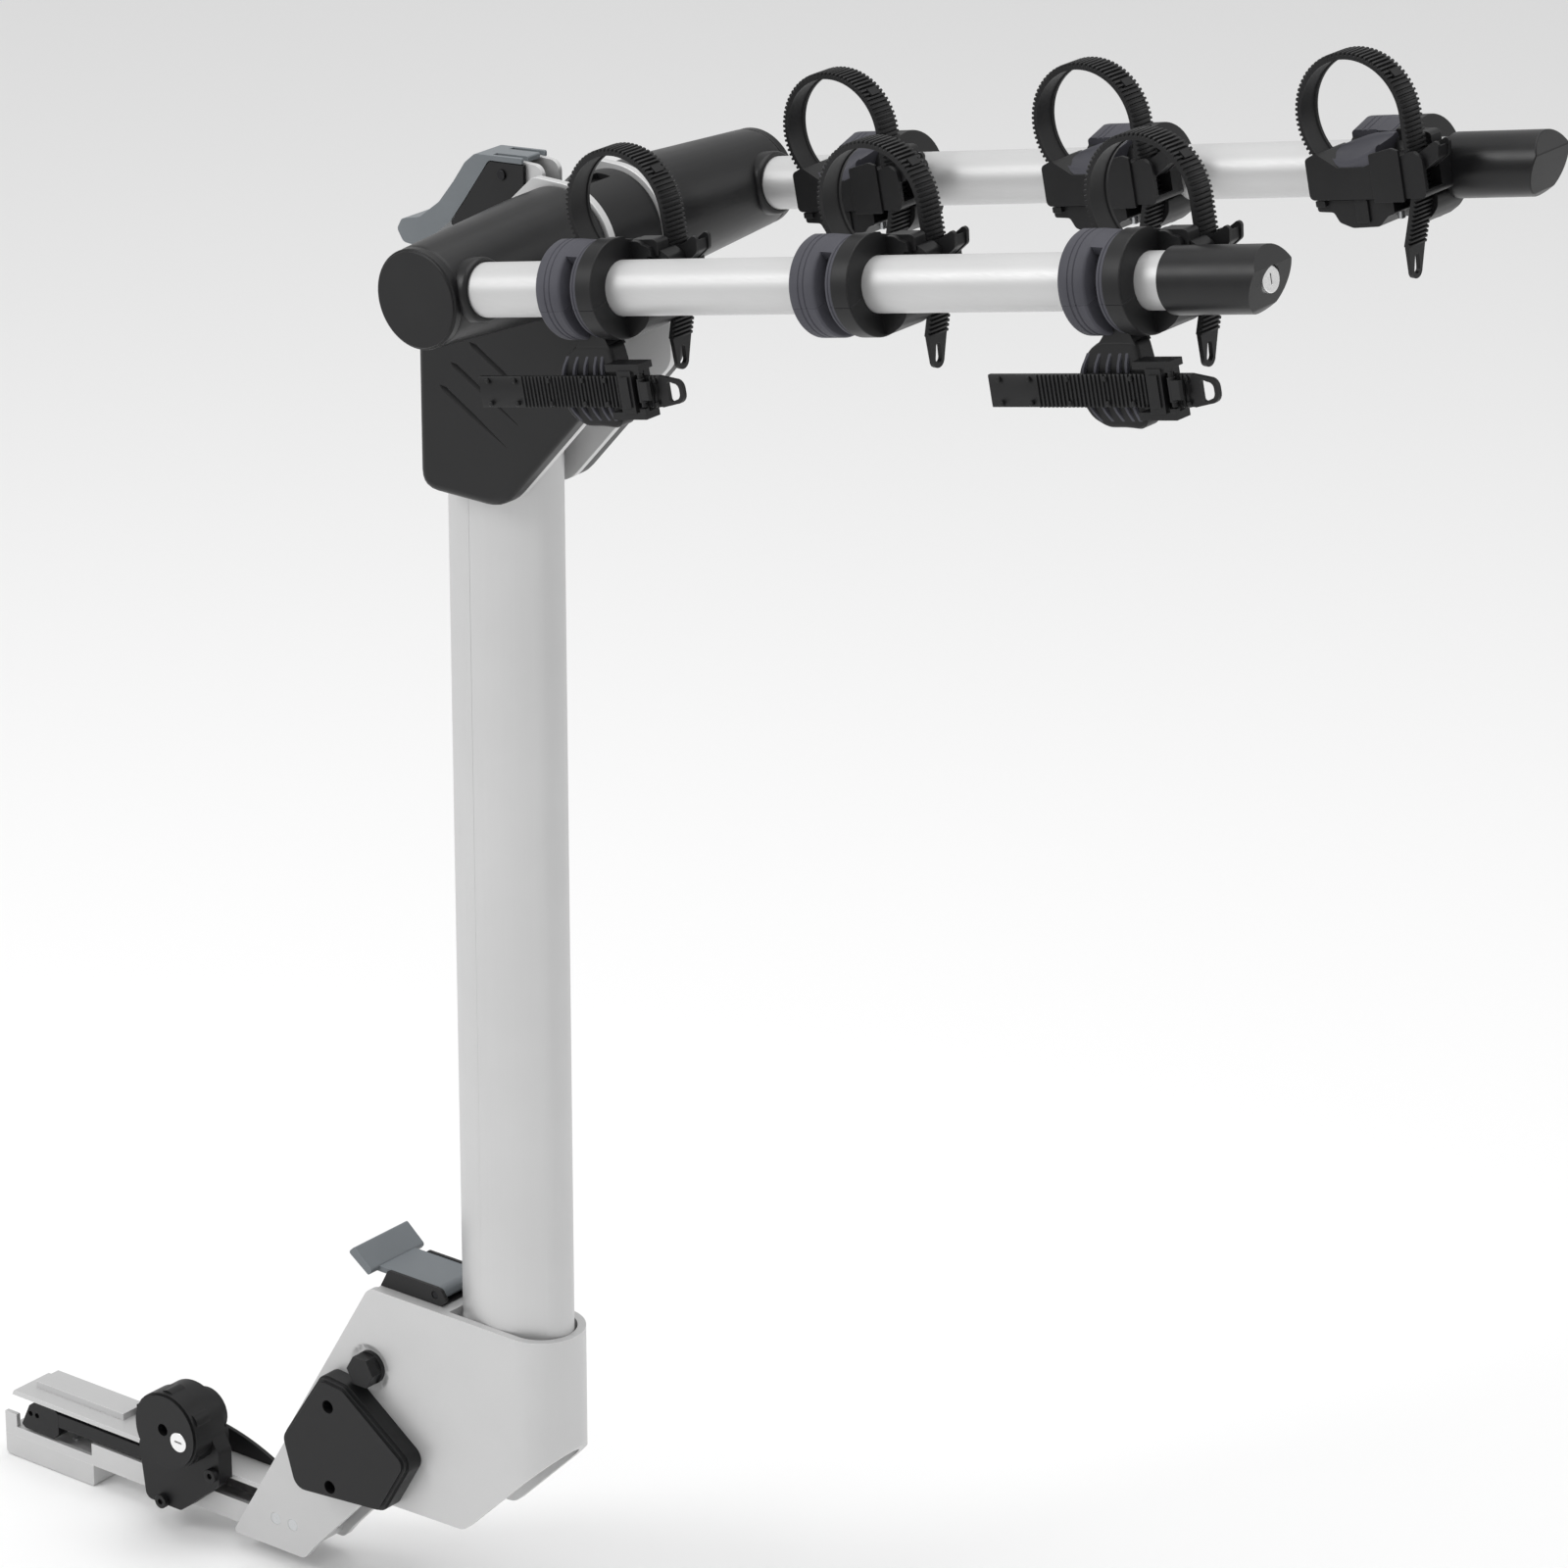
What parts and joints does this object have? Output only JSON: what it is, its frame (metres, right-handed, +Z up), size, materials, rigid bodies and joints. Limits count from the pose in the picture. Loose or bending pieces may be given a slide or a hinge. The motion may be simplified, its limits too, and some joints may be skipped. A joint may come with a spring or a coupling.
{
  "type": "hitch mounted bike rack",
  "caption": "Hanging bicycle rack on a square hitch shank: tilting base, oval mast and two folding arms with strapped cradles and anti-sway cages.",
  "frame": {"origin": "hitch pin axis at the middle of the square shank", "axes": "+X away from the car along the shank, +Y to the right as seen from behind the car, +Z up along the mast"},
  "size_m": [1.0226, 0.3066, 1.0565],
  "materials": {
    "satin_aluminium": "satin clear anodised",
    "black_plastic": "fine moulded texture",
    "slate_rubber": "soft matte",
    "grey_plastic": "smooth moulded",
    "zinc_steel": "zinc plated",
    "lock_silver": "bright plated",
    "bush_white": "smooth"
  },
  "bodies": {
    "stinger": {"stinger_tube": "satin_aluminium", "adapter_blocks": "satin_aluminium", "stinger_fasteners": "zinc_steel", "bracket_plates": "satin_aluminium", "tilt_pivot_bolt": "zinc_steel", "knob_housing": "black_plastic", "guard_plate": "black_plastic", "knob_housing_screws": "black_plastic", "pin_spring": "zinc_steel"},
    "hitch_knob": {"hitch_knob": "black_plastic", "knob_pinion": "zinc_steel"},
    "knob_lock": {"knob_lock_core": "lock_silver"},
    "draw_rod": {"draw_rod": "black_plastic", "wedge_block": "black_plastic"},
    "hitch_pin": {"hitch_latch_pin": "zinc_steel"},
    "mast": {"base_housing": "satin_aluminium", "mast_tube": "satin_aluminium", "pivot_covers": "black_plastic", "cover_screws": "zinc_steel", "latch_bolt": "black_plastic", "lever_body": "black_plastic", "lever_pin": "zinc_steel", "head_plates": "satin_aluminium", "side_cover_left": "black_plastic", "side_cover_right": "black_plastic", "head_bolts": "zinc_steel", "release_bracket": "satin_aluminium", "release_pin": "zinc_steel", "hub_bushes": "bush_white"},
    "tilt_lever": {"tilt_lever": "grey_plastic"},
    "tilt_latch": {"tilt_latch": "zinc_steel"},
    "release_lever": {"release_lever": "grey_plastic", "release_core": "black_plastic"},
    "arms": {"hub_tube": "zinc_steel", "lock_drum": "black_plastic", "hub_shell_left": "black_plastic", "hub_shell_right": "black_plastic", "end_caps": "black_plastic", "arm_left": "satin_aluminium", "arm_right": "satin_aluminium", "arm_plug_left": "black_plastic", "arm_plug_right": "black_plastic", "cradle_bodies": "black_plastic", "cradle_pads": "slate_rubber", "cradle_clamps": "black_plastic", "cradle_screws": "zinc_steel", "cradle_straps": "black_plastic"},
    "plug_lock": {"plug_lock_core": "lock_silver"},
    "sway_front": {"sway_cradle_front": "black_plastic", "sway_strap_front": "black_plastic"},
    "sway_rear": {"sway_cradle_rear": "black_plastic", "sway_strap_rear": "black_plastic"},
    "sway_tab_front": {"sway_tab_front": "black_plastic"},
    "sway_tab_rear": {"sway_tab_rear": "black_plastic"},
    "buckle_tab_l1": {"buckle_tab_l1": "black_plastic"},
    "buckle_tab_l2": {"buckle_tab_l2": "black_plastic"},
    "buckle_tab_l3": {"buckle_tab_l3": "black_plastic"},
    "buckle_tab_r1": {"buckle_tab_r1": "black_plastic"},
    "buckle_tab_r2": {"buckle_tab_r2": "black_plastic"},
    "buckle_tab_r3": {"buckle_tab_r3": "black_plastic"}
  },
  "joints": [
    {"name": "mast_tilt", "type": "hinge", "parent": "stinger", "child": "mast", "pos_m": [0.2695, 0, 0.077], "axis": [0, 1, 0], "range_deg": [0, 50]},
    {"name": "arm_fold", "type": "hinge", "parent": "mast", "child": "arms", "pos_m": [0.452, 0, 0.864], "axis": [0, 1, 0], "range_deg": [0, 100]},
    {"name": "release_lever", "type": "hinge", "parent": "mast", "child": "release_lever", "pos_m": [0.397, 0, 0.8915], "axis": [0, 1, 0], "range_deg": [0, 22], "stiffness_Nm_per_rad": 0.6, "springref_deg": -20.05},
    {"name": "tilt_lever", "type": "hinge", "parent": "mast", "child": "tilt_lever", "pos_m": [0.338, 0, 0.1904], "axis": [0, 1, 0], "range_deg": [0, 30], "stiffness_Nm_per_rad": 0.4, "springref_deg": -20.05},
    {"name": "tilt_latch", "type": "hinge", "parent": "mast", "child": "tilt_latch", "pos_m": [0.291, 0, 0.131], "axis": [0, 1, 0], "range_deg": [0, 9.2]},
    {"name": "hitch_knob", "type": "hinge", "parent": "stinger", "child": "hitch_knob", "pos_m": [0.1365, -0.03, 0.0465], "axis": [0, -1, 0], "range_deg": [0, 115]},
    {"name": "draw_slide", "type": "slide", "parent": "stinger", "child": "draw_rod", "axis": [1, 0, 0], "range_m": [0, 0.0122]},
    {"name": "knob_lock", "type": "hinge", "parent": "hitch_knob", "child": "knob_lock", "pos_m": [0.148, -0.04, 0.043], "axis": [0, -1, 0], "range_deg": [0, 90]},
    {"name": "hitch_pin", "type": "slide", "parent": "stinger", "child": "hitch_pin", "axis": [0, 1, 0], "range_m": [-0.0065, 0], "stiffness_N_per_m": 500, "springref_m": 0.004, "deforming": ["pin_spring"]},
    {"name": "plug_lock", "type": "hinge", "parent": "arms", "child": "plug_lock", "pos_m": [0.98548, -0.1263, 0.97545], "axis": [0.9789, 0, 0.2045], "range_deg": [0, 90]},
    {"name": "sway_swing_front", "type": "hinge", "parent": "arms", "child": "sway_front", "pos_m": [0.56065, -0.1263, 0.8867], "axis": [0.9789, 0, 0.2045], "range_deg": [-40, 8]},
    {"name": "sway_swing_rear", "type": "hinge", "parent": "arms", "child": "sway_rear", "pos_m": [0.9013, -0.1263, 0.95786], "axis": [0.9789, 0, 0.2045], "range_deg": [-40, 8]},
    {"name": "buckle_l1", "type": "hinge", "parent": "arms", "child": "buckle_tab_l1", "pos_m": [0.59552, -0.0933, 0.90318], "axis": [0, 1, 0], "range_deg": [0, 30], "stiffness_Nm_per_rad": 0.04, "springref_deg": -20.05},
    {"name": "buckle_l2", "type": "hinge", "parent": "arms", "child": "buckle_tab_l2", "pos_m": [0.76584, -0.0933, 0.93876], "axis": [0, 1, 0], "range_deg": [0, 30], "stiffness_Nm_per_rad": 0.04, "springref_deg": -20.05},
    {"name": "buckle_l3", "type": "hinge", "parent": "arms", "child": "buckle_tab_l3", "pos_m": [0.93617, -0.0933, 0.97434], "axis": [0, 1, 0], "range_deg": [0, 30], "stiffness_Nm_per_rad": 0.04, "springref_deg": -20.05},
    {"name": "buckle_r1", "type": "hinge", "parent": "arms", "child": "buckle_tab_r1", "pos_m": [0.59552, 0.0933, 0.90318], "axis": [0, 1, 0], "range_deg": [0, 30], "stiffness_Nm_per_rad": 0.04, "springref_deg": -20.05},
    {"name": "buckle_r2", "type": "hinge", "parent": "arms", "child": "buckle_tab_r2", "pos_m": [0.76584, 0.0933, 0.93876], "axis": [0, 1, 0], "range_deg": [0, 30], "stiffness_Nm_per_rad": 0.04, "springref_deg": -20.05},
    {"name": "buckle_r3", "type": "hinge", "parent": "arms", "child": "buckle_tab_r3", "pos_m": [0.93617, 0.0933, 0.97434], "axis": [0, 1, 0], "range_deg": [0, 30], "stiffness_Nm_per_rad": 0.04, "springref_deg": -20.05},
    {"name": "sway_buckle_front", "type": "hinge", "parent": "sway_front", "child": "sway_tab_front", "pos_m": [0.60681, -0.1448, 0.84424], "axis": [0.2045, 0, -0.9789], "range_deg": [0, 30], "stiffness_Nm_per_rad": 0.04, "springref_deg": -20.05},
    {"name": "sway_buckle_rear", "type": "hinge", "parent": "sway_rear", "child": "sway_tab_rear", "pos_m": [0.94746, -0.1448, 0.91541], "axis": [0.2045, 0, -0.9789], "range_deg": [0, 30], "stiffness_Nm_per_rad": 0.04, "springref_deg": -20.05}
  ],
  "couplings": [
    {"joint": "draw_slide", "follows": "hitch_knob", "m_per_rad": 0.006},
    {"joint": "tilt_latch", "follows": "tilt_lever", "ratio": 0.3}
  ]
}
